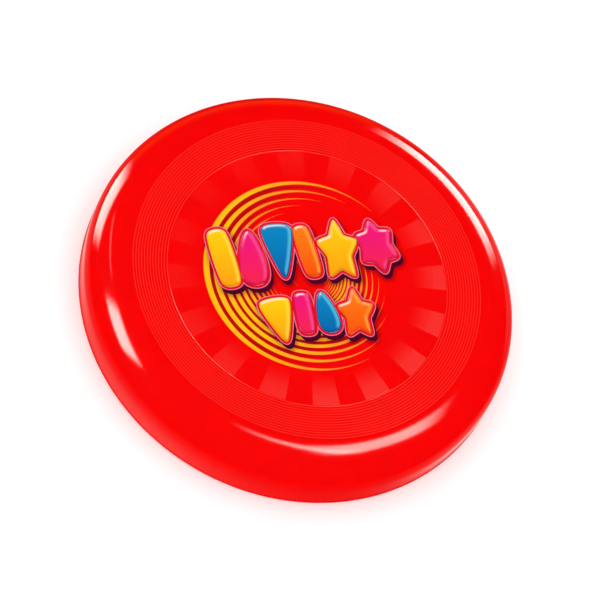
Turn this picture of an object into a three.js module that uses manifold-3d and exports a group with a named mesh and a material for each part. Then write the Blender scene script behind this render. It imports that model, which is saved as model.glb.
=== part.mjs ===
// A round moulded flying disc with a printed centre, in millimetres.
// The frame has its origin on the surface that the rim stands on, in the middle of the disc.
// +Z points up through the face, and +X runs along the two rows of the centre print.
import * as THREE from "three";
import { mergeVertices } from "three/addons/utils/BufferGeometryUtils.js";
import Module from "manifold-3d";

const wasm = await Module();
wasm.setup();

// --- Driving dimensions: the moulding -----------------------------------------------------
const OUTER_RADIUS = 115;
const HEIGHT = 32;
const PLATE = 1.8; // thickness of the flat face
const WALL = 2; // thickness of the rim wall
const GROOVES = { inner: 75, outer: 93, count: 12, depth: 0.15 };
const SHOULDER = { drop: 18, topReach: 3, sideReach: 14, steps: 8 };
const FOOT = { outerRadius: 1.6, innerRadius: 1.2, width: 1.2 };
const BEAD = { top: 9, steps: 4 }; // where the thick lower lip has thinned out to the plain wall
const GATE = { radius: 4, height: 0.6 }; // moulding gate in the middle of the underside
const LATHE_STEPS = 80;
const CORNER_STEPS = 3;

// --- Driving dimensions: the centre print ---------------------------------------------------
// Each layer's thickness is exact in binary, so the layers touch and never overlap.
const SWIRL = {
  x: 1.5,
  y: 0.5,
  arcs: 9,
  outerRadius: 55.6,
  shrink: 0.91, // each arc's radius over the one outside it
  fill: 0.62, // an arc's greatest width over the gap to the next arc
  start: 38, // degrees from +X to the first arc's upper tip
  sweep: 254, // degrees from an arc's upper tip to its lower tip
  turn: 15, // degrees that each arc is turned on from the one outside it
  thickness: 0.125,
  steps: 20,
  barWidth: 1, // of the bar that joins the arcs under the upper row
};
const OUTLINE = { margin: 1.5, thickness: 0.125, spineWidth: 9 };
const MOTIF = { thickness: 0.375, steps: 60 };
const SLIVER = 0.01;

// A motif's outline is a rounded polygon or star: its corners, how far its sides are pulled in
// (1 is straight sides, 3 is a star), and how crisp the corners are, from 0, round, to 1.
const STAR = { corners: 5, waist: 2.5, crisp: 0.9 };
const EGG = { corners: 3, waist: 1, crisp: 0.5 };
const PEBBLE = { corners: 4, waist: 1, crisp: 0.7, turned: 45 };
const SHIELD = { corners: 3, waist: 1, crisp: 0.85, turned: 180 };
const FLOWER = { corners: 6, waist: 3, crisp: 0.78 };

// Name, ink, outline, centre x and y, width, height, and lean to the left in degrees.
const UPPER_ROW = {
  name: "upper_outline_print",
  spine: { x: [-42, 41], y: 15, overhang: 19 },
  motifs: [
    ["upper_pebble_yellow", "yellow", PEBBLE, -42.6, 15.2, 12.5, 34.5, 4],
    ["upper_egg_magenta", "magenta", EGG, -27.6, 13.6, 15, 32.5, -4],
    ["upper_shield_blue", "blue", SHIELD, -11.4, 16.4, 17, 32, -3],
    ["upper_pebble_orange", "orange", PEBBLE, 3, 14.8, 10, 31, 4],
    ["upper_star_yellow", "yellow", STAR, 20.2, 15, 22, 33.5, -4],
    ["upper_flower_magenta", "magenta", FLOWER, 41.3, 14, 19.5, 31, 4],
  ],
};
const LOWER_ROW = {
  name: "lower_outline_print",
  spine: { x: [-20, 21], y: -21.5 },
  motifs: [
    ["lower_shield_yellow", "yellow", SHIELD, -21.2, -23.2, 17, 26, 4],
    ["lower_pebble_magenta", "magenta", PEBBLE, -7, -20.8, 9.5, 24.5, -3],
    ["lower_egg_blue", "blue", EGG, 5, -21.4, 12, 24.5, 3],
    ["lower_star_orange", "orange", STAR, 21, -22.4, 19.5, 27, -4],
  ],
};

// --- Materials ------------------------------------------------------------------------------
const plastic = (color, roughness) =>
  new THREE.MeshStandardMaterial({ color, roughness, metalness: 0 });
const RED = plastic(0xf60206, 0.22);
const INKS = {
  swirl: plastic(0xffb41e, 0.35),
  outline: plastic(0x4a0838, 0.35),
  yellow: plastic(0xffc400, 0.3),
  magenta: plastic(0xea1a84, 0.3),
  blue: plastic(0x0a7cc8, 0.3),
  orange: plastic(0xff6a12, 0.3),
};

// --- Solids ---------------------------------------------------------------------------------
const radians = THREE.MathUtils.degToRad;
const point = (x, y) => new THREE.Vector2(x, y);

// A closed geometry as a manifold solid.
function solidOf(geometry) {
  const bare = geometry.clone().deleteAttribute("normal").deleteAttribute("uv");
  const merged = mergeVertices(bare, 1e-4);
  return new wasm.Manifold(
    new wasm.Mesh({
      numProp: 3,
      vertProperties: merged.attributes.position.array,
      triVerts: new Uint32Array(merged.index.array),
    }),
  );
}

// A manifold solid as a geometry. As an original its flat faces are whole again, without the cuts
// and slivers that a join leaves in them.
function geometryOf(solid) {
  const mesh = solid.asOriginal().simplify(SLIVER).getMesh();
  return new THREE.BufferGeometry()
    .setAttribute("position", new THREE.BufferAttribute(mesh.vertProperties, 3))
    .setIndex(new THREE.BufferAttribute(mesh.triVerts, 1));
}

function flatSolid(points, thickness) {
  return new THREE.ExtrudeGeometry(new THREE.Shape(points), { depth: thickness, bevelEnabled: false });
}

function named(name, geometry, material) {
  const mesh = new THREE.Mesh(geometry, material);
  mesh.name = name;
  return mesh;
}

// --- The moulding ---------------------------------------------------------------------------
// A smooth bend between two points, pulled towards a handle at each end.
function bend(from, fromHandle, toHandle, to, steps) {
  return new THREE.CubicBezierCurve(from, fromHandle, toHandle, to).getPoints(steps);
}

// A round corner about a centre, from one angle to another, in degrees.
function corner(x, y, radius, from, to) {
  const turn = new THREE.EllipseCurve(x, y, radius, radius, radians(from), radians(to), to < from);
  return turn.getPoints(CORNER_STEPS);
}

// Concentric V grooves with a crest at face level between each two.
function grooves() {
  const pitch = (GROOVES.outer - GROOVES.inner) / GROOVES.count;
  const crests = Array.from({ length: GROOVES.count }, (_, i) => GROOVES.inner + i * pitch);
  return crests.flatMap((r) => [point(r, HEIGHT), point(r + pitch / 2, HEIGHT - GROOVES.depth)]);
}

// Round shoulder, upright wall and the outer corner of the foot.
function outside() {
  const wallTop = HEIGHT - SHOULDER.drop;
  const { outerRadius } = FOOT;
  return [
    ...bend(
      point(GROOVES.outer, HEIGHT),
      point(GROOVES.outer + SHOULDER.topReach, HEIGHT),
      point(OUTER_RADIUS, wallTop + SHOULDER.sideReach),
      point(OUTER_RADIUS, wallTop),
      SHOULDER.steps,
    ),
    ...corner(OUTER_RADIUS - outerRadius, outerRadius, outerRadius, 0, -90),
  ];
}

// Flat foot, thick lower lip, plain wall, the inside of the shoulder and the underside of the plate.
function inside() {
  const wallTop = HEIGHT - SHOULDER.drop;
  const ceiling = HEIGHT - PLATE;
  const wall = OUTER_RADIUS - WALL;
  const foot = OUTER_RADIUS - FOOT.outerRadius - FOOT.width;
  const lip = foot - FOOT.innerRadius;
  return [
    ...corner(foot, FOOT.innerRadius, FOOT.innerRadius, -90, -180),
    ...bend(
      point(lip, BEAD.top / 2),
      point(lip, BEAD.top / 2),
      point(wall, BEAD.top / 2),
      point(wall, BEAD.top),
      BEAD.steps,
    ),
    ...bend(
      point(wall, wallTop),
      point(wall, wallTop + SHOULDER.sideReach - PLATE),
      point(GROOVES.outer + SHOULDER.topReach - PLATE / 3, ceiling),
      point(GROOVES.outer, ceiling),
      SHOULDER.steps,
    ),
  ];
}

// The half section. It is drawn from the middle of the face out over the rim and back to the middle
// of the underside, and then reversed, which is the order that turns a lathe's faces outwards.
function shellProfile() {
  const ceiling = HEIGHT - PLATE;
  const gate = [
    point(GATE.radius, ceiling),
    point(GATE.radius, ceiling - GATE.height),
    point(0, ceiling - GATE.height),
  ];
  return [point(0, HEIGHT), ...grooves(), ...outside(), ...inside(), ...gate].reverse();
}

function discShell() {
  const geometry = new THREE.LatheGeometry(shellProfile(), LATHE_STEPS).rotateX(Math.PI / 2);
  return named("disc_shell", geometry, RED);
}

// --- The centre print -----------------------------------------------------------------------
// One arc of the swirl: widest half way round, and tapered to a point at both ends.
function swirlArc(index) {
  const radius = SWIRL.outerRadius * SWIRL.shrink ** index;
  const width = radius * (1 - SWIRL.shrink) * SWIRL.fill;
  const start = SWIRL.start + index * SWIRL.turn;
  const at = (step, side) => {
    const share = step / SWIRL.steps;
    const angle = radians(start + share * SWIRL.sweep);
    const r = radius + (side * width * Math.sin(Math.PI * share)) / 2;
    return point(SWIRL.x + r * Math.cos(angle), SWIRL.y + r * Math.sin(angle));
  };
  const steps = Array.from({ length: SWIRL.steps + 1 }, (_, i) => i);
  const outer = steps.map((step) => at(step, 1));
  const inner = steps.slice(1, -1).reverse().map((step) => at(step, -1));
  return solidOf(flatSolid([...outer, ...inner], SWIRL.thickness));
}

function rectangle(x, y, width, height) {
  const corners = [[-1, -1], [1, -1], [1, 1], [-1, 1]];
  return corners.map(([i, j]) => point(x + (i * width) / 2, y + (j * height) / 2));
}

// All arcs of the swirl, joined by a narrow bar that lies under the upper row.
function swirlPrint() {
  const [left, right] = UPPER_ROW.spine.x;
  const reach = right - left + UPPER_ROW.spine.overhang;
  const bar = rectangle((left + right) / 2, UPPER_ROW.spine.y, reach, SWIRL.barWidth);
  let swirl = solidOf(flatSolid(bar, SWIRL.thickness));
  for (let i = 0; i < SWIRL.arcs; i++) swirl = swirl.add(swirlArc(i));
  return named("swirl_print", geometryOf(swirl), INKS.swirl);
}

// The distance from a rounded polygon's or star's middle to its edge, 1 at the corners.
function edgeRadius({ corners, waist, crisp }, angle) {
  const bend = (k) => Math.cos((2 * Math.asin(k) + Math.PI * waist) / (2 * corners));
  return bend(crisp) / bend(crisp * Math.cos(corners * angle));
}

// The closed outline of a motif in its own place, moved outwards by a margin.
function motifOutline([, , kind, x, y, width, height, lean], margin = 0) {
  const upright = Math.PI / 2 + radians(kind.turned ?? 0);
  const points = Array.from({ length: MOTIF.steps }, (_, i) => {
    const angle = (2 * Math.PI * i) / MOTIF.steps;
    const r = edgeRadius(kind, angle);
    return point(r * Math.cos(angle + upright), r * Math.sin(angle + upright));
  });
  const box = new THREE.Box2().setFromPoints(points);
  const size = box.getSize(new THREE.Vector2());
  const middle = box.getCenter(new THREE.Vector2());
  const scale = point(width / size.x, height / size.y);
  const placed = points.map((p) =>
    p.sub(middle).multiply(scale).rotateAround(point(0, 0), radians(lean)).add(point(x, y)),
  );
  return placed.map((p, i) => {
    const before = placed.at(i - 1);
    const after = placed[(i + 1) % placed.length];
    const along = after.clone().sub(before).normalize();
    return p.clone().add(point(along.y, -along.x).multiplyScalar(margin));
  });
}

function motifPrint(motif) {
  const [name, ink] = motif;
  return named(name, flatSolid(motifOutline(motif), MOTIF.thickness), INKS[ink]);
}

// The dark outline behind a row: every motif grown by a margin, joined by a spine along the row.
function outlinePrint({ name, spine, motifs }) {
  const [left, right] = spine.x;
  const band = rectangle((left + right) / 2, spine.y, right - left, OUTLINE.spineWidth);
  let outline = solidOf(flatSolid(band, OUTLINE.thickness));
  for (const motif of motifs)
    outline = outline.add(solidOf(flatSolid(motifOutline(motif, OUTLINE.margin), OUTLINE.thickness)));
  return named(name, geometryOf(outline), INKS.outline);
}

// --- Assembly -------------------------------------------------------------------------------
// A group of prints that lie on the surface at this height.
function layer(z, meshes) {
  const group = new THREE.Group();
  group.position.z = z;
  group.add(...meshes);
  return group;
}

const swirlTop = HEIGHT + SWIRL.thickness;
const outlineTop = swirlTop + OUTLINE.thickness;
const rows = [UPPER_ROW, LOWER_ROW];

const flyingDisc = new THREE.Group();
flyingDisc.add(
  discShell(),
  layer(HEIGHT, [swirlPrint()]),
  layer(swirlTop, rows.map(outlinePrint)),
  layer(outlineTop, rows.flatMap((row) => row.motifs.map(motifPrint))),
);

export default flyingDisc;
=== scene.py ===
"""A moulded flying disc with a printed centre: its looks, in metres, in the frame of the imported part.

The disc lies on its rim on the floor at z = 0, +Z points up through its face, and +X runs along the
two rows of the centre print. The moulding is a fine lathe, and the print is thin relief on top of it.
"""
import math

import bpy
import numpy as np
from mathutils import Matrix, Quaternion, Vector


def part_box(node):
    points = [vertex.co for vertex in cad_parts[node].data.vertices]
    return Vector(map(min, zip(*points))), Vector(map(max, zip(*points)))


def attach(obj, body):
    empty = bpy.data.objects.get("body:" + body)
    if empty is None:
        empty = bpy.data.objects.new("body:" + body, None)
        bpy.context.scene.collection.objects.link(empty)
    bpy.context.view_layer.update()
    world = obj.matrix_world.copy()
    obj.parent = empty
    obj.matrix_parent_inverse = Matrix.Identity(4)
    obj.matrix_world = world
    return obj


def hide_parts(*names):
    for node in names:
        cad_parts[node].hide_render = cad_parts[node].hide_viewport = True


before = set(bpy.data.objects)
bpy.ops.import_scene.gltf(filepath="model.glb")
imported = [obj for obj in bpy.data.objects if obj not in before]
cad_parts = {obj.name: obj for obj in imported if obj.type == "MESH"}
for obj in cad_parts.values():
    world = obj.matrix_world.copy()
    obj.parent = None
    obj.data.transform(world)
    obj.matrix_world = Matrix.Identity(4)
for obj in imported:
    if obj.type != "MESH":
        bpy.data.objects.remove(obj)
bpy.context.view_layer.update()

MM = 0.001

# --- Sizes: the moulding ---------------------------------------------------------------------------
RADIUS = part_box("disc_shell")[1].x
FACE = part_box("disc_shell")[1].z
PLATE = 1.8 * MM
WALL = 2 * MM
SHOULDER = {"inner": 93 * MM, "drop": 18 * MM, "top_reach": 3 * MM, "side_reach": 14 * MM}
CEILING = FACE - PLATE
WALL_TOP = FACE - SHOULDER["drop"]
FOOT = {"outer_radius": 1.6 * MM, "inner_radius": 1.2 * MM, "width": 1.2 * MM}
# The thick lower lip thins out to the plain wall from bend_start up to its top.
LIP = {"bend_start": 4.5 * MM, "low_handle": 5.85 * MM, "high_handle": 6.75 * MM, "top": 9 * MM}
# inner and outer are the radii of the innermost and the outermost bead, with this many gaps between.
BEADS = {"inner": 75 * MM, "outer": SHOULDER["inner"], "gaps": 12}
BEAD_PITCH = (BEADS["outer"] - BEADS["inner"]) / BEADS["gaps"]
BEAD = {"half_width": 0.18 * MM, "height": 0.03 * MM}
FIRST_BEAD = 0.08 * MM  # height of the innermost bead
BAND_EDGE = 0.5 * MM  # flat between the outermost bead and the shoulder
GATE = {"radius": 4 * MM, "height": 0.6 * MM, "bevel": 0.15 * MM, "foot": 0.5 * MM}
NIB = {"radius": 1.1 * MM, "height": 0.3 * MM, "side": 0.12 * MM, "foot": 0.25 * MM, "taper": 0.55}

# --- Sizes: the rays -------------------------------------------------------------------------------
# centre is the middle of the first ray, in degrees. A ray fades in from inner to full.
RAYS = {"count": 16, "centre": 16.4, "inner": 54 * MM, "full": 71.4 * MM, "outer": 74.4 * MM}
RAY_HEIGHT = 0.03 * MM
RAY_SIDE = 0.05  # half the width of the bevel along a side of a ray, in degrees
RAY_END = 0.15 * MM  # width of the bevel at the outer end of a ray
# How strongly the rays show: middle plus or minus swing, strongest at this azimuth in degrees.
# The swing round the disc is painted sheen, for the etching catching the light more on one side.
ETCHING_AND_SHEEN = {"middle": 0.64, "swing": 0.45, "strongest": 308}

# --- Fineness of the moulding's lathe --------------------------------------------------------------
FACE_RINGS = 62  # from the middle of the face to the outer end of the rays
BEAD_POINTS = 9
SHOULDER_STEPS = 44
WALL_POINTS = 6
CORNER_STEPS = 6
LIP_STEPS = 8
INNER_WALL_POINTS = 3
INNER_SHOULDER_STEPS = 24
UNDERSIDE_RINGS = np.array([76, 58, 40, 22]) * MM  # their radii
RAY_STEPS = 9  # across one ray, and across one gap between rays

# --- Sizes: the print ------------------------------------------------------------------------------
# shrink is an arc's radius over that of the arc outside it, and fill its greatest width over the gap
# to the arc inside it. start is from +X to the first arc's upper tip, sweep from there to its lower
# tip, and turn from one arc to the next, in degrees.
SWIRL = {"arcs": 20, "shrink": 0.91, "fill": 0.62, "start": 38, "sweep": 254, "turn": 15, "steps": 110}
SWIRL_INK = 0.03 * MM  # thickness of the arcs
SHADE_INK = 0.015 * MM  # and of the dark shades between them
TIP_WIDTH = 0.08 * MM
INNER_ORANGE = 0.85  # how much of its yellow the innermost arc has lost to orange
MOTIFS = {
    "upper": {
        "upper_pebble_yellow": "yellow",
        "upper_egg_magenta": "magenta",
        "upper_shield_blue": "blue",
        "upper_pebble_orange": "orange",
        "upper_star_yellow": "yellow",
        "upper_flower_magenta": "magenta",
    },
    "lower": {
        "lower_shield_yellow": "yellow",
        "lower_pebble_magenta": "magenta",
        "lower_egg_blue": "blue",
        "lower_star_orange": "orange",
    },
}
LINE_MARGIN = 1.5 * MM  # from a motif's edge to the outside of the thin pale line round its row
BORDER_MARGIN = 1.08 * MM  # and to the outside of the border inside that line
DROP = np.array([0.9, -2.6]) * MM  # how far the dark side of a row reaches down from it
SOFT_SHADOW = 3.2 * MM  # width of the printed shadow round the dark side

# Heights of the print's layers over the face.
DROP_BOTTOM = 0.035 * MM
DROP_TOP = 0.11 * MM
LINE_TOP = 0.15 * MM
BORDER_TOP = 0.2 * MM
CROWN = 0.4 * MM  # of a motif's middle over the border
CROWN_EDGE = 2.2 * MM  # width of the rounded edge of a motif
MOTIF_RINGS = 22
EDGE_CROWDING = 1.5  # over 1, a motif's rings lie closer together towards its edge
OUTLINE_FINENESS = 4  # points of a motif's outline to each corner of its CAD outline
SAME_HEIGHT = 0.01 * MM  # points of the CAD less than this above the lowest one are level with it

# The light printed on a motif: the way the edge beside it faces, how closely the edge has to face
# that way, and how far in from the edge the light rises and falls, in millimetres.
GLINT = {"faces": (-0.35, 0.94), "closely": (0.6, 0.98), "rise": (0.4, 1.0), "fall": (1.3, 2.2)}
SIDE_LIGHT = {"faces": (0.97, 0.25), "closely": (0.2, 0.95), "rise": (0.5, 1.3), "fall": (1.6, 3.4)}
LOW_SIDE = {"faces": (0.35, -0.94), "closely": (-0.4, 0.8)}
DARK_EDGE = 0.7 * MM


# --- Mesh helpers ----------------------------------------------------------------------------------
def new_object(name, points, faces):
    """A mesh object whose points are in the part's frame."""
    mesh = bpy.data.meshes.new(name)
    mesh.from_pydata([tuple(p) for p in points], [], faces)
    mesh.validate()
    piece = bpy.data.objects.new(name, mesh)
    bpy.context.scene.collection.objects.link(piece)
    return piece


def set_values(piece, name, values):
    """Stores one number for each vertex, which the materials read by name."""
    attribute = piece.data.attributes.new(name, "FLOAT", "POINT")
    attribute.data.foreach_set("value", np.asarray(values, np.float32))


def shade_smooth(piece, sharp_over):
    """Smooth shading, with edges that bend by more than this many degrees kept sharp."""
    piece.data.shade_smooth()
    piece.data.set_sharp_from_angle(angle=math.radians(sharp_over))


def finish_piece(piece, material, slot, *nodes):
    """Gives a piece its material and its place in the part, and hides the CAD nodes that it stands for.
    """
    piece.data.materials.append(material)
    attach(piece, "root")
    if nodes:
        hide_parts(*nodes)


def smoothstep(low, high, x):
    """0 up to low, 1 from high on, and a smooth rise between them."""
    t = np.clip((np.asarray(x) - low) / (high - low), 0, 1)
    return t * t * (3 - 2 * t)


# --- The moulding ----------------------------------------------------------------------------------
def bezier(a, b, c, d, steps):
    """Points on a smooth bend from a to d with the handles b and c, without a itself."""
    t = (np.arange(1, steps + 1) / steps)[:, None]
    a, b, c, d = (np.array(p) for p in (a, b, c, d))
    return list((1 - t) ** 3 * a + 3 * (1 - t) ** 2 * t * b + 3 * (1 - t) * t**2 * c + t**3 * d)


def corner(x, y, radius, start, end):
    """Points on a round corner about (x, y), between two angles in degrees, both ends included."""
    turn = np.radians(np.linspace(start, end, CORNER_STEPS + 1))
    return [(x + radius * math.cos(a), y + radius * math.sin(a)) for a in turn]


def face_profile():
    """The middle of the face, in rings close enough together to carry the print's soft shadow."""
    radii = np.linspace(0, RAYS["outer"] - RAY_END, FACE_RINGS + 1)[1:]
    return [(r, FACE) for r in radii]


def bead_profile():
    """The band of fine rings: round beads level with the face, but for a higher innermost one."""
    across = np.linspace(-1, 1, BEAD_POINTS)
    rise = (1 + np.cos(math.pi * across)) / 2
    points = [(RAYS["outer"], FACE)]
    for ring in range(BEADS["gaps"] + 1):
        middle = BEADS["inner"] + ring * BEAD_PITCH
        height = FIRST_BEAD if ring == 0 else BEAD["height"]
        for u, h in zip(across, rise):
            points.append((middle + u * BEAD["half_width"], FACE - BEAD["height"] + height * h))
    return points


def outer_profile():
    """Round shoulder, upright wall and the outer corner of the foot."""
    start = BEADS["outer"] + BEAD["half_width"] + BAND_EDGE
    r = FOOT["outer_radius"]
    shoulder = bezier(
        (start, FACE),
        (SHOULDER["inner"] + SHOULDER["top_reach"], FACE),
        (RADIUS, WALL_TOP + SHOULDER["side_reach"]),
        (RADIUS, WALL_TOP),
        SHOULDER_STEPS,
    )
    wall = [(RADIUS, z) for z in np.linspace(WALL_TOP, r, WALL_POINTS)[1:-1]]
    return [(start, FACE), *shoulder, *wall, *corner(RADIUS - r, r, r, 0, -90)]


def inner_profile():
    """Flat foot, thick lower lip, plain wall, the inside of the shoulder and the plate's underside."""
    wall = RADIUS - WALL
    foot = RADIUS - FOOT["outer_radius"] - FOOT["width"]
    r = FOOT["inner_radius"]
    lip = foot - r
    lip_bend = bezier(
        (lip, LIP["bend_start"]),
        (lip, LIP["low_handle"]),
        (wall, LIP["high_handle"]),
        (wall, LIP["top"]),
        LIP_STEPS,
    )
    shoulder = bezier(
        (wall, WALL_TOP),
        (wall, WALL_TOP + SHOULDER["side_reach"] - PLATE),
        (SHOULDER["inner"] + SHOULDER["top_reach"] - PLATE / 3, CEILING),
        (SHOULDER["inner"], CEILING),
        INNER_SHOULDER_STEPS,
    )
    return [
        *corner(foot, r, r, -90, -180),
        (lip, LIP["bend_start"]),
        *lip_bend,
        *[(wall, z) for z in np.linspace(LIP["top"], WALL_TOP, INNER_WALL_POINTS)[1:]],
        *shoulder,
        *[(radius, CEILING) for radius in UNDERSIDE_RINGS],
    ]


def gate_profile():
    """The round gate pad in the middle of the underside, with the broken nib of the gate on it."""
    pad = CEILING - GATE["height"]
    r, bevel, nib = GATE["radius"], GATE["bevel"], NIB["radius"]
    return [
        (r + GATE["foot"], CEILING),
        (r, CEILING - bevel),
        (r, pad + bevel),
        (r - bevel, pad),
        (nib + NIB["foot"], pad),
        (nib, pad - NIB["side"]),
        (nib * NIB["taper"], pad - NIB["height"]),
    ]


def ray_angles():
    """The lathe's angles, and which of them lie on a ray. Rays and gaps are equally wide.

    Each edge of a ray has a close pair of angles, so that its side is a narrow bevel.
    """
    pitch = 360 / RAYS["count"]
    angles, mask = [], []
    for ray in range(RAYS["count"]):
        start = RAYS["centre"] + (ray - 0.25) * pitch
        middle, end = start + pitch / 2, start + pitch
        inside = np.linspace(start + RAY_SIDE, middle - RAY_SIDE, RAY_STEPS + 1)
        outside = np.linspace(middle + RAY_SIDE, end - RAY_SIDE, RAY_STEPS + 1)
        angles += [*inside, *outside]
        mask += [1] * len(inside) + [0] * len(outside)
    return np.radians(angles), np.array(mask, float)


def lathe(profile, angles):
    """Points and faces of a closed turned body whose profile starts and ends on the axis."""
    r, z = np.array(profile).T
    ring = np.stack([np.cos(angles), np.sin(angles)], 1)
    points = np.empty((len(r), len(angles), 3))
    points[..., :2] = r[:, None, None] * ring
    points[..., 2] = z[:, None]
    rows, columns = len(r), len(angles)
    index = np.arange(rows * columns).reshape(rows, columns)
    across = np.roll(index, -1, axis=1)
    quads = np.stack([index[:-1], index[1:], across[1:], across[:-1]], -1).reshape(-1, 4)
    top, bottom = rows * columns, rows * columns + 1
    fan_top = [(top, a, b) for a, b in zip(index[0], across[0])]
    fan_bottom = [(bottom, b, a) for a, b in zip(index[-1], across[-1])]
    faces = [tuple(map(int, f)) for f in [*quads, *fan_top, *fan_bottom]]
    return points, faces


def crest_values(radius, on_face):
    """1 on the crest of each bead, falling to 0 at its foot; the material paints a highlight there."""
    half = BEAD_PITCH / 2
    from_crest = np.abs((radius - BEADS["inner"] + half) % BEAD_PITCH - half)
    in_band = (radius > BEADS["inner"] - half) & (radius < BEADS["outer"] + half)
    return np.where(on_face & in_band, np.clip(1 - from_crest / BEAD["half_width"], 0, 1), 0)


def ray_values(radius, angles, mask, on_face):
    """How strongly each point is etched, with a painted sheen that swings round the disc: 0 off the
    rays, and up to about 1 on the strongest ones.
    """
    fade = smoothstep(RAYS["inner"], RAYS["full"], radius)
    # Painted sheen: the rays are stronger towards one side of the disc, and this sets their height,
    # roughness and colour.
    turn = np.cos(angles - math.radians(ETCHING_AND_SHEEN["strongest"]))
    strength = ETCHING_AND_SHEEN["middle"] + ETCHING_AND_SHEEN["swing"] * turn
    on_rays = on_face & (radius < RAYS["outer"] - RAY_END / 2)
    return np.where(on_rays, fade * mask * strength, 0)


def build_moulding(print_edges):
    """The whole disc as one turned body, with its rays, crests and printed shadow as values."""
    profile = [*face_profile(), *bead_profile(), *outer_profile(), *inner_profile(), *gate_profile()]
    angles, mask = ray_angles()
    points, faces = lathe(profile, angles)
    radius = np.hypot(points[..., 0], points[..., 1])
    on_face = points[..., 2] > FACE - PLATE / 2
    crest = crest_values(radius, on_face)
    ray = ray_values(radius, angles, mask, on_face)
    points[..., 2] += RAY_HEIGHT * ray
    poles = [(0, 0, FACE), (0, 0, CEILING - GATE["height"] - NIB["height"])]
    flat = np.concatenate([points.reshape(-1, 3), poles])
    piece = new_object("disc_moulding", flat, faces)
    shadow = np.where(flat[:, 2] > FACE - PLATE / 2, soft_shadow(flat[:, :2], print_edges), 0)
    set_values(piece, "ray", np.concatenate([ray.ravel(), [0, 0]]))
    set_values(piece, "crest", np.concatenate([crest.ravel(), [0, 0]]))
    set_values(piece, "print_shadow", shadow)
    shade_smooth(piece, sharp_over=26)
    return piece


# --- The centre print ------------------------------------------------------------------------------
def outline_of(node):
    """A motif's outline: a Catmull-Rom spline through the corners of its CAD solid's underside."""
    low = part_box(node)[0].z
    corners = {
        (round(v.co.x, 7), round(v.co.y, 7))
        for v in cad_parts[node].data.vertices
        if v.co.z < low + SAME_HEIGHT
    }
    loop = np.array(sorted(corners))
    middle = loop.mean(axis=0)
    loop = loop[np.argsort(np.arctan2(*(loop - middle).T[::-1]))]
    before, after, beyond = (np.roll(loop, k, axis=0) for k in (1, -1, -2))
    t = (np.arange(OUTLINE_FINENESS) / OUTLINE_FINENESS)[None, :, None]
    a, b, c, d = (p[:, None, :] for p in (before, loop, after, beyond))
    spline = b + 0.5 * t * (c - a + t * (2 * a - 5 * b + 4 * c - d + t * (3 * (b - c) + d - a)))
    return spline.reshape(-1, 2)


def normals_of(loop):
    """The outward direction at each point of a closed loop that runs anticlockwise."""
    along = np.roll(loop, -1, axis=0) - np.roll(loop, 1, axis=0)
    along /= np.linalg.norm(along, axis=1)[:, None]
    return np.stack([along[:, 1], -along[:, 0]], 1)


def grown(loop, margin):
    """A loop moved outwards by a margin."""
    return loop + margin * normals_of(loop)


def distance_to(points, loop):
    """Each point's distance to the nearest point of a closed loop, and that point's index."""
    nearest = np.full(len(points), np.inf)
    index = np.zeros(len(points), int)
    for i, p in enumerate(loop):
        d = np.hypot(points[:, 0] - p[0], points[:, 1] - p[1])
        closer = d < nearest
        nearest[closer], index[closer] = d[closer], i
    return nearest, index


def soft_shadow(points, edges):
    """The printed soft shadow round the dark side of the rows: 1 at its edge, fading outwards to 0."""
    nearest = np.full(len(points), np.inf)
    reach = max(np.abs(edge).max() for edge in edges) + SOFT_SHADOW
    near = np.flatnonzero(np.hypot(points[:, 0], points[:, 1]) < reach)
    for edge in edges:
        nearest[near] = np.minimum(nearest[near], distance_to(points[near], edge)[0])
    return 1 - smoothstep(0, SOFT_SHADOW, nearest)


def prism(name, loop, bottom, top):
    """A flat solid with this outline."""
    n = len(loop)
    points = [(x, y, bottom) for x, y in loop] + [(x, y, top) for x, y in loop]
    sides = [(i, (i + 1) % n, n + (i + 1) % n, n + i) for i in range(n)]
    return new_object(name, points, [tuple(range(n))[::-1], tuple(range(n, 2 * n)), *sides])


def joined(name, solids):
    """One solid from several that overlap."""
    base = solids[0]
    for other in solids[1:]:
        join = base.modifiers.new("join", "BOOLEAN")
        join.operation = "UNION"
        join.solver = "EXACT"
        join.object = other
    bpy.context.view_layer.update()
    evaluated = base.evaluated_get(bpy.context.evaluated_depsgraph_get())
    mesh = bpy.data.meshes.new_from_object(evaluated)
    mesh.name = name
    for solid in solids:
        bpy.data.objects.remove(solid)
    piece = bpy.data.objects.new(name, mesh)
    bpy.context.scene.collection.objects.link(piece)
    return piece


def build_row_layer(name, loops, margin, bottom, top):
    """A row's outline: every motif grown by a margin, joined where they overlap."""
    solids = []
    for i, loop in enumerate(loops):
        solids.append(prism(f"{name}_{i}", grown(loop, margin), FACE + bottom, FACE + top))
    return joined(name, solids)


def build_row_drop(name, loops):
    """The dark side of a row: its outline, drawn out downwards like the side of a thick letter."""
    piece = build_row_layer(name, loops, LINE_MARGIN, DROP_BOTTOM, DROP_TOP)
    middle = FACE + (DROP_BOTTOM + DROP_TOP) / 2
    for vertex in piece.data.vertices:
        if vertex.co.z < middle:
            vertex.co.x += DROP[0]
            vertex.co.y += DROP[1]
    return piece


def motif_points(loop):
    """Ever smaller copies of the loop, close together at its edge, down to a point in the middle."""
    middle = loop.mean(axis=0)
    scales = 1 - (np.arange(MOTIF_RINGS) / MOTIF_RINGS) ** EDGE_CROWDING
    return np.concatenate([middle + scale * (loop - middle) for scale in scales] + [middle[None]])


def motif_faces(n):
    """A flat underside, bands between the rings of n points, and a fan in the middle."""
    faces = [tuple(range(n))[::-1]]
    for ring in range(MOTIF_RINGS - 1):
        a, b = ring * n, (ring + 1) * n
        faces += [(a + i, a + (i + 1) % n, b + (i + 1) % n, b + i) for i in range(n)]
    last = (MOTIF_RINGS - 1) * n
    return faces + [(last + i, last + (i + 1) % n, MOTIF_RINGS * n) for i in range(n)]


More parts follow.
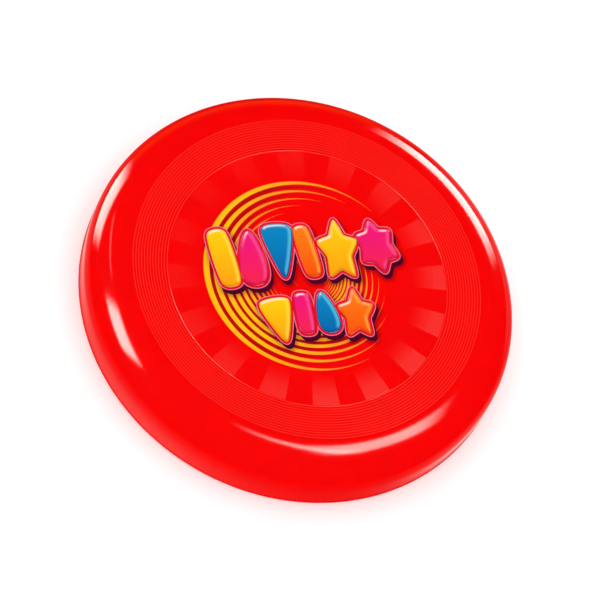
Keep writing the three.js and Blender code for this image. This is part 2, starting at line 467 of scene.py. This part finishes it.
def faces_closely(light, facing):
    """1 beside an edge that faces the way of a printed light, fading to 0."""
    return smoothstep(*light["closely"], facing @ np.array(light["faces"]))


def light_values(light, depth, facing):
    """1 in the band where a printed light lies, fading to 0 round it."""
    rise, fall = (np.array(light[key]) * MM for key in ("rise", "fall"))
    band = smoothstep(*rise, depth) * (1 - smoothstep(*fall, depth))
    return band * faces_closely(light, facing)


def build_motif(name, loop):
    """A puffed-up motif: flat in the middle, with a round edge, and its printed light as values."""
    inner = motif_points(loop)
    depth, nearest = distance_to(inner, loop)
    share = np.clip(depth / CROWN_EDGE, 0, 1)
    height = BORDER_TOP + CROWN * np.sqrt(1 - (1 - share) ** 2)
    piece = new_object(name + "_ink", np.column_stack([inner, FACE + height]), motif_faces(len(loop)))
    facing = normals_of(loop)[nearest]
    set_values(piece, "glint", light_values(GLINT, depth, facing))
    set_values(piece, "side_light", light_values(SIDE_LIGHT, depth, facing))
    set_values(piece, "low_side", faces_closely(LOW_SIDE, facing) * (1 - share))
    low, high = loop[:, 1].min(), loop[:, 1].max()
    set_values(piece, "height", (inner[:, 1] - low) / (high - low))
    set_values(piece, "edge", 1 - smoothstep(0, DARK_EDGE, depth))
    shade_smooth(piece, sharp_over=50)
    return piece


def swirl_centre():
    """The middle of the swirl, and the radius of its outermost arc's middle line."""
    low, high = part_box("swirl_print")
    half_width = SWIRL["fill"] * (1 - SWIRL["shrink"]) / 2
    middle_y = (low.y + high.y) / 2
    radius = (high.y - low.y) / 2 / (1 + half_width)
    return np.array([low.x + radius * (1 + half_width), middle_y]), radius


def crescent(centre, radius, width, start, top):
    """A thin tapered arc on the face: its points, its faces, and how near each is to its middle."""
    steps = SWIRL["steps"]
    share = np.linspace(0, 1, steps + 1)
    angle = np.radians(start + share * SWIRL["sweep"])
    half = np.maximum(width * np.sin(math.pi * share), TIP_WIDTH) / 2
    points = []
    for a, h in zip(angle, half):
        way = np.array([math.cos(a), math.sin(a)])
        outer, inner = centre + (radius + h) * way, centre + (radius - h) * way
        points += [(*outer, FACE), (*outer, top), (*inner, top), (*inner, FACE)]
    faces = [(0, 1, 2, 3)]
    for step in range(steps):
        a, b = 4 * step, 4 * step + 4
        faces += [(a + k, b + k, b + (k + 1) % 4, a + (k + 1) % 4) for k in range(4)]
    faces.append((4 * steps + 3, 4 * steps + 2, 4 * steps + 1, 4 * steps))
    return points, faces, np.repeat(np.sin(math.pi * share), 4)


def build_crescents(name, place, thickness, print_edges):
    """All the arcs of one ink. place gives an arc's radius and width from its number."""
    centre, outermost = swirl_centre()
    points, faces, along = [], [], []
    for arc in range(SWIRL["arcs"]):
        radius, width = place(arc, outermost)
        start = SWIRL["start"] + arc * SWIRL["turn"]
        arc_points, arc_faces, middle = crescent(centre, radius, width, start, FACE + thickness)
        faces += [tuple(i + len(points) for i in face) for face in arc_faces]
        points += arc_points
        along.append(middle * (1 - INNER_ORANGE * arc / SWIRL["arcs"]))
    piece = new_object(name, points, faces)
    set_values(piece, "along", np.concatenate(along))
    set_values(piece, "print_shadow", soft_shadow(np.array(points)[:, :2], print_edges))
    return piece


def arc_place(arc, outermost):
    """An arc's radius, and its greatest width."""
    radius = outermost * SWIRL["shrink"] ** arc
    return radius, radius * (1 - SWIRL["shrink"]) * SWIRL["fill"]


def shade_place(arc, outermost):
    """The same for the dark shade midway between an arc and the next one in."""
    radius = outermost * SWIRL["shrink"] ** arc
    gap = radius * (1 - SWIRL["shrink"])
    return radius - gap / 2, gap * SWIRL["fill"]


# --- Materials -------------------------------------------------------------------------------------
PLASTIC_IOR = 1.45  # of the red plastic and the inks
PAPER_IOR = 1.5


def srgb(*colour):
    """A colour given as 0 to 255, as Blender's linear values."""
    shares = [channel / 255 for channel in colour]
    linear = [c / 12.92 if c <= 0.04045 else ((c + 0.055) / 1.055) ** 2.4 for c in shares]
    return (*linear, 1)


class Nodes:
    """A short way to write a material's node tree."""

    def __init__(self, name):
        self.material = bpy.data.materials.new(name)
        self.material.use_nodes = True
        self.tree = self.material.node_tree
        self.shader = self.tree.nodes["Principled BSDF"]

    def add(self, kind, **settings):
        node = self.tree.nodes.new(kind)
        for key, value in settings.items():
            setattr(node, key, value)
        return node

    def link(self, source, target):
        self.tree.links.new(source, target)

    def feed(self, source, socket):
        """Gives a socket another node's output, or a constant."""
        if isinstance(source, bpy.types.NodeSocket):
            self.link(source, socket)
        else:
            socket.default_value = source

    def value(self, name):
        """A number that is stored for each vertex."""
        return self.add("ShaderNodeAttribute", attribute_name=name).outputs["Fac"]

    def noise(self, size, detail=2, roughness=0.5):
        """Noise in the object's own space, whose lumps are about this size."""
        place = self.add("ShaderNodeTexCoord").outputs["Object"]
        noise = self.add("ShaderNodeTexNoise")
        self.link(place, noise.inputs["Vector"])
        noise.inputs["Scale"].default_value = 1 / size
        noise.inputs["Detail"].default_value = detail
        noise.inputs["Roughness"].default_value = roughness
        return noise.outputs["Fac"]

    def span(self, source, low, high, from_low=0.0, from_high=1.0):
        """A value moved from its own range, from_low to from_high, to the range low to high."""
        node = self.add("ShaderNodeMapRange")
        self.link(source, node.inputs["Value"])
        ends = {"From Min": from_low, "From Max": from_high, "To Min": low, "To Max": high}
        for key, number in ends.items():
            node.inputs[key].default_value = number
        return node.outputs["Result"]

    def product(self, a, b):
        node = self.add("ShaderNodeMath", operation="MULTIPLY")
        self.feed(a, node.inputs[0])
        self.feed(b, node.inputs[1])
        return node.outputs["Value"]

    def mix(self, share, a, b):
        """A colour between a and b, each a colour or another node's output."""
        node = self.add("ShaderNodeMix", data_type="RGBA")
        self.link(share, node.inputs[0])
        self.feed(a, node.inputs[6])
        self.feed(b, node.inputs[7])
        return node.outputs[2]

    def blend(self, share, a, b):
        """A number between a and b."""
        node = self.add("ShaderNodeMix", data_type="FLOAT")
        self.link(share, node.inputs[0])
        self.feed(a, node.inputs[2])
        self.feed(b, node.inputs[3])
        return node.outputs[0]

    def bump(self, height, distance, under=None):
        """Relief this deep, laid over another bump's."""
        node = self.add("ShaderNodeBump")
        self.link(height, node.inputs["Height"])
        node.inputs["Distance"].default_value = distance
        node.inputs["Strength"].default_value = 1
        if under is not None:
            self.link(under, node.inputs["Normal"])
        return node.outputs["Normal"]

    def finish(self, colour, roughness, normal=None, ior=PLASTIC_IOR):
        """The whole material, from its colour, roughness and relief."""
        self.link(colour, self.shader.inputs["Base Color"])
        self.link(roughness, self.shader.inputs["Roughness"])
        if normal is not None:
            self.link(normal, self.shader.inputs["Normal"])
        self.shader.inputs["IOR"].default_value = ior
        return self.material


def red_plastic():
    """Glossy red polyethylene, with matt etched rays and a faint waviness from the mould; painted
    highlights on the bead crests and painted sheen on the rays.
    """
    m = Nodes("red_plastic")
    ray, crest = m.value("ray"), m.value("crest")
    grain = m.noise(0.22 * MM, detail=3, roughness=0.7)
    blotches = m.noise(14 * MM)
    plain = m.mix(m.span(blotches, 0, 1, 0.35, 0.65), srgb(245, 0, 0), srgb(240, 0, 2))
    # Painted sheen: on the etched rays the red is a little lighter and more orange than on the face.
    etched = m.mix(m.span(grain, 0, 1, 0.3, 0.7), srgb(246, 5, 0), srgb(249, 18, 4))
    # Painted highlight: each bead's crest is a paler red, standing in for the thin line of light along
    # it.
    with_crest_highlight = m.mix(m.product(crest, 0.62), plain, srgb(255, 84, 62))
    face = m.mix(ray, with_crest_highlight, etched)
    shadow = m.product(m.value("print_shadow"), 0.55)
    colour = m.mix(shadow, face, srgb(60, 6, 10))
    gloss = m.span(m.noise(5 * MM, detail=4), 0.07, 0.1, 0.3, 0.7)
    roughness = m.blend(ray, m.blend(crest, gloss, 0.22), m.span(grain, 0.27, 0.34))
    waves = m.bump(m.noise(3.5 * MM, detail=1), 0.006 * MM)
    etching = m.bump(m.product(grain, ray), 0.03 * MM, under=waves)
    return m.finish(colour, roughness, etching)


def swirl_ink():
    """Yellow ink that turns orange at the arcs' tips, and brown in the printed shadow."""
    m = Nodes("swirl_ink")
    along = m.span(m.value("along"), 0, 1, 0.15, 0.85)
    lit = m.mix(along, srgb(248, 112, 34), srgb(255, 188, 16))
    speckle = m.noise(0.6 * MM, detail=3)
    uneven = m.mix(m.span(speckle, 0, 0.25, 0.4, 0.7), lit, srgb(255, 158, 10))
    colour = m.mix(m.product(m.value("print_shadow"), 0.65), uneven, srgb(140, 32, 22))
    roughness = m.span(speckle, 0.1, 0.15, 0.3, 0.7)
    return m.finish(colour, roughness, m.bump(speckle, 0.002 * MM))


def shade_ink():
    """Dark red ink between the arcs, fading to the plastic's red at its tips."""
    m = Nodes("shade_ink")
    along = m.span(m.value("along"), 0, 1, 0.15, 0.7)
    speckle = m.noise(0.6 * MM, detail=3)
    deep = m.mix(speckle, srgb(196, 0, 4), srgb(178, 0, 6))
    colour = m.mix(along, srgb(245, 0, 5), deep)
    shaded = m.mix(m.product(m.value("print_shadow"), 0.65), colour, srgb(50, 0, 10))
    return m.finish(shaded, m.span(speckle, 0.1, 0.15, 0.3, 0.7))


def plain_ink(name, light, dark):
    """One ink of the print, a little uneven where the transfer took."""
    m = Nodes(name)
    speckle = m.noise(0.8 * MM, detail=3)
    colour = m.mix(m.span(speckle, 0, 1, 0.35, 0.65), srgb(*light), srgb(*dark))
    roughness = m.span(speckle, 0.1, 0.16, 0.3, 0.7)
    return m.finish(colour, roughness, m.bump(speckle, 0.002 * MM))


def motif_ink(name, top, bottom, edge, light):
    """A motif's ink: it shades from top to bottom, with printed light on it and a darker low side."""
    m = Nodes(name)
    speckle = m.noise(0.7 * MM, detail=3)
    height = m.span(m.value("height"), 0, 1, 0.15, 0.9)
    body = m.mix(height, srgb(*bottom), srgb(*top))
    low = m.mix(m.product(m.value("low_side"), 0.9), body, srgb(*edge))
    rim = m.mix(m.product(m.value("edge"), 0.55), low, srgb(*edge))
    uneven = m.mix(m.span(speckle, 0, 0.06, 0.4, 0.7), rim, srgb(*edge))
    lit = m.mix(m.product(m.value("side_light"), 0.7), uneven, srgb(*light))
    colour = m.mix(m.product(m.value("glint"), 0.8), lit, srgb(255, 240, 225))
    roughness = m.span(speckle, 0.1, 0.15, 0.3, 0.7)
    return m.finish(colour, roughness, m.bump(speckle, 0.001 * MM))


# --- Studio ----------------------------------------------------------------------------------------
CREAM = (1, 0.93, 0.86)
# Where the camera stands from the point that it looks at, and its anticlockwise roll, in degrees.
CAMERA = {"azimuth": -128.4, "elevation": 58.16, "roll": 28.5, "distance": 2.59}
LENS = {"focal_length": 300, "sensor": 36}  # in millimetres, as Blender takes them
FAR_CLIP = 50
# The middle of the face lies this far right of the middle of the picture, and this far above it.
AIM = {"right": 4.2 * MM, "up": 12 * MM}
EVEN_LIGHT = 1.1
FLOOR_REACH = 6
FLOOR_LIGHT = 0.15  # what the paper gives off, which keeps it white close to the disc
SOFTBOX_DISTANCE = 1.6

# The floor close beside the disc, as reflections show it: a sheet of rings, this far below the floor.
# A ring's glow is its share here of the glow in its direction.
DIM_FLOOR_DEPTH = 0.5 * MM
DIM_FLOOR_RADII = np.array([100, 115.5, 117.5, 124, 150, 200]) * MM
DIM_FLOOR_SHARES = [0.2, 0.2, 0.9, 0.5, 0.35, 0]
DIM_FLOOR_STRENGTH = 1.6
DIM_FLOOR_STEP = 5  # degrees from one point of a ring to the next
DIM_COLOUR = (1, 0.12, 0.1, 1)
BRIGHT_COLOUR = (1, 0.75, 0.7, 1)
# The glow all round, and where it is brighter: azimuth and spread in degrees, and how much brighter.
BASE_GLOW = 0.16
BRIGHT_SIDES = [(-147, 31, 0.6), (-45, 25, 1), (150, 30, 0.8), (22, 32, 1.5)]


def direction(azimuth, elevation):
    """The way out of the disc at an angle round from +X and an angle up from the floor, in degrees."""
    a, e = math.radians(azimuth), math.radians(elevation)
    return Vector((math.cos(a) * math.cos(e), math.sin(a) * math.cos(e), math.sin(e)))


def make_camera():
    """A long lens that looks down on the face, rolled so that the disc seems to stand on its edge."""
    lens = bpy.data.cameras.new("camera")
    lens.lens = LENS["focal_length"]
    lens.sensor_width = LENS["sensor"]
    lens.clip_end = FAR_CLIP
    camera = bpy.data.objects.new("camera", lens)
    bpy.context.scene.collection.objects.link(camera)
    back = direction(CAMERA["azimuth"], CAMERA["elevation"])
    roll = Quaternion((0, 0, 1), math.radians(CAMERA["roll"]))
    turn = (-back).to_track_quat("-Z", "Y") @ roll
    right, up = turn @ Vector((1, 0, 0)), turn @ Vector((0, 1, 0))
    aim = Vector((0, 0, FACE)) - AIM["right"] * right - AIM["up"] * up
    camera.rotation_mode = "QUATERNION"
    camera.rotation_quaternion = turn
    camera.location = aim + CAMERA["distance"] * back
    bpy.context.scene.camera = camera


def fading_light(light, fade):
    """Makes an area light fade to nothing over this share of its width and height at each edge."""
    light.use_nodes = True
    tree = light.node_tree
    emission = next(node for node in tree.nodes if node.type == "EMISSION")
    place = tree.nodes.new("ShaderNodeSeparateXYZ")
    tree.links.new(tree.nodes.new("ShaderNodeNewGeometry").outputs["Parametric"], place.inputs[0])
    product = tree.nodes.new("ShaderNodeMath")
    product.operation = "MULTIPLY"
    for axis, share in enumerate(fade):
        # Its place runs from 0 to 1 across the panel. Folded in half, it is 0 at both edges.
        from_edge = tree.nodes.new("ShaderNodeMath")
        from_edge.operation = "PINGPONG"
        from_edge.inputs[1].default_value = 0.5
        ramp = tree.nodes.new("ShaderNodeMapRange")
        ramp.interpolation_type = "SMOOTHSTEP"
        ramp.inputs["From Max"].default_value = share
        tree.links.new(place.outputs[axis], from_edge.inputs[0])
        tree.links.new(from_edge.outputs[0], ramp.inputs["Value"])
        tree.links.new(ramp.outputs[0], product.inputs[axis])
    tree.links.new(product.outputs[0], emission.inputs["Strength"])


def softbox(name, azimuth, elevation, width, height, radiance, roll=0, fade=(0.1, 0.1), color=(1, 1, 1)):
    """A lit panel that shows in reflections only, its size given in degrees as the disc sees it."""
    light = bpy.data.lights.new(name, "AREA")
    light.shape = "RECTANGLE"
    light.color = color
    light.size = 2 * SOFTBOX_DISTANCE * math.tan(math.radians(width) / 2)
    light.size_y = 2 * SOFTBOX_DISTANCE * math.tan(math.radians(height) / 2)
    light.energy = radiance * math.pi * light.size * light.size_y
    fading_light(light, fade)
    lamp = bpy.data.objects.new(name, light)
    bpy.context.scene.collection.objects.link(lamp)
    out = direction(azimuth, elevation)
    lamp.location = out * SOFTBOX_DISTANCE
    lamp.rotation_mode = "QUATERNION"
    lamp.rotation_quaternion = out.to_track_quat("Z", "Y") @ Quaternion((0, 0, 1), math.radians(roll))
    lamp.visible_camera = False
    lamp.visible_diffuse = False


def make_world():
    """Even white light on every side, which reflections don't see."""
    world = bpy.data.worlds.new("world")
    bpy.context.scene.world = world
    world.use_nodes = True
    background = world.node_tree.nodes["Background"]
    background.inputs["Color"].default_value = (1, 1, 1, 1)
    background.inputs["Strength"].default_value = EVEN_LIGHT
    world.cycles_visibility.glossy = False


def make_floor():
    """White paper, which reflections don't see."""
    corners = [(x * FLOOR_REACH, y * FLOOR_REACH, 0) for x, y in ((-1, -1), (1, -1), (1, 1), (-1, 1))]
    floor = new_object("floor", corners, [(0, 1, 2, 3)])
    m = Nodes("floor_paper")
    speckle = m.noise(4 * MM)
    colour = m.mix(speckle, (0.93, 0.93, 0.93, 1), (0.95, 0.95, 0.95, 1))
    m.shader.inputs["Emission Color"].default_value = (1, 1, 1, 1)
    m.shader.inputs["Emission Strength"].default_value = FLOOR_LIGHT
    floor.data.materials.append(m.finish(colour, m.span(speckle, 0.8, 0.9), ior=PAPER_IOR))
    floor.visible_glossy = False


def floor_glow(azimuth):
    """How brightly the floor beside the disc shows in reflections, in each of these directions."""
    glow = np.full(len(azimuth), BASE_GLOW)
    for middle, spread, gain in BRIGHT_SIDES:
        away = (azimuth - middle + 180) % 360 - 180
        glow += gain * np.exp(-((away / spread) ** 2))
    return glow


def make_dim_floor():
    """The floor close beside the disc, as the disc's reflections show it. Only they see it."""
    azimuth = np.arange(0, 360, DIM_FLOOR_STEP)
    turn = np.radians(azimuth)
    circle = np.column_stack([np.cos(turn), np.sin(turn), np.zeros(len(turn))])
    points = np.concatenate([radius * circle for radius in DIM_FLOOR_RADII])
    glow = np.concatenate([share * floor_glow(azimuth) for share in DIM_FLOOR_SHARES])
    n = len(turn)
    faces = [
        (a + i, a + n + i, a + n + (i + 1) % n, a + (i + 1) % n)
        for a in range(0, n * (len(DIM_FLOOR_RADII) - 1), n)
        for i in range(n)
    ]
    sheet = new_object("floor_in_reflections", points, faces)
    sheet.location.z = -DIM_FLOOR_DEPTH
    set_values(sheet, "glow", glow)
    m = Nodes("dim_floor")
    lit = m.value("glow")
    m.shader.inputs["Base Color"].default_value = (0, 0, 0, 1)
    m.shader.inputs["Specular IOR Level"].default_value = 0
    m.link(m.mix(lit, DIM_COLOUR, BRIGHT_COLOUR), m.shader.inputs["Emission Color"])
    m.link(m.product(lit, DIM_FLOOR_STRENGTH), m.shader.inputs["Emission Strength"])
    sheet.data.materials.append(m.material)
    sheet.visible_camera = False
    sheet.visible_diffuse = False
    sheet.visible_shadow = False


def make_studio():
    """The camera, the even light, the floor, and the softboxes that make the highlights."""
    make_camera()
    make_world()
    make_floor()
    make_dim_floor()
    softbox("far_right_window", 38, 9, 32, 21, 14, fade=(0.3, 0.15), color=CREAM)
    softbox("far_left_window", 119, -2, 31, 42, 15, roll=-8, fade=(0.3, 0.15), color=CREAM)
    softbox("left_window", 163, 41, 25, 24, 20, fade=(0.25, 0.25), color=CREAM)
    softbox("thin_strip", 126, 37, 3, 24, 2.2, roll=-43, fade=(0.3, 0.2))
    softbox("overhead_strip", -25, 62, 18, 37, 12, roll=40, fade=(0.3, 0.32), color=CREAM)
    softbox("overhead_tail", -52, 73, 8, 34, 10, roll=17, fade=(0.4, 0.4), color=CREAM)
    softbox("warm_far_card", 85, -18, 80, 60, 0.5, fade=(0.3, 0.3), color=(1, 0.35, 0.03))
    softbox("pale_far_card", 22, -24, 50, 50, 0.5, fade=(0.3, 0.3), color=(1, 0.8, 0.75))


# --- Assembly --------------------------------------------------------------------------------------
def build_print(outlines, print_edges):
    """The swirl and its shades, then each row's dark side, thin pale line and red border."""
    arcs = build_crescents("swirl_arcs", arc_place, SWIRL_INK, print_edges)
    finish_piece(arcs, swirl_ink(), "swirl_yellow", "swirl_print")
    shades = build_crescents("swirl_shades", shade_place, SHADE_INK, print_edges)
    finish_piece(shades, shade_ink(), "shell_red")
    maroon = plain_ink("maroon_ink", (84, 2, 36), (68, 0, 34))
    pale = plain_ink("pale_line_ink", (250, 128, 160), (238, 108, 146))
    red = plain_ink("border_ink", (236, 4, 24), (218, 2, 26))
    for row, loops in outlines.items():
        shapes = list(loops.values())
        drop = build_row_drop(f"{row}_row_side", shapes)
        finish_piece(drop, maroon, "outline_maroon", f"{row}_outline_print")
        line = build_row_layer(f"{row}_row_line", shapes, LINE_MARGIN, DROP_TOP, LINE_TOP)
        finish_piece(line, pale, "outline_maroon")
        border = build_row_layer(f"{row}_row_border", shapes, BORDER_MARGIN, LINE_TOP, BORDER_TOP)
        finish_piece(border, red, "outline_maroon")


def build_motifs(outlines):
    """The ten motifs, each in its ink."""
    inks = {
        "yellow": motif_ink("yellow_ink", (255, 202, 2), (255, 166, 4), (206, 108, 6), (255, 224, 64)),
        "magenta": motif_ink("magenta_ink", (240, 12, 124), (244, 30, 82), (172, 0, 54), (255, 80, 152)),
        "blue": motif_ink("blue_ink", (0, 134, 192), (0, 106, 172), (0, 58, 124), (92, 204, 232)),
        "orange": motif_ink("orange_ink", (255, 122, 12), (255, 88, 2), (206, 44, 4), (255, 168, 60)),
    }
    for row, loops in outlines.items():
        for name, loop in loops.items():
            ink = MOTIFS[row][name]
            finish_piece(build_motif(name, loop), inks[ink], f"motif_{ink}", name)


outlines = {row: {name: outline_of(name) for name in names} for row, names in MOTIFS.items()}
loops = [loop for row in outlines.values() for loop in row.values()]
print_edges = [grown(loop, LINE_MARGIN) + DROP for loop in loops]
make_studio()
finish_piece(build_moulding(print_edges), red_plastic(), "shell_red", "disc_shell")
build_print(outlines, print_edges)
build_motifs(outlines)

bpy.context.scene.view_settings.view_transform = "Standard"
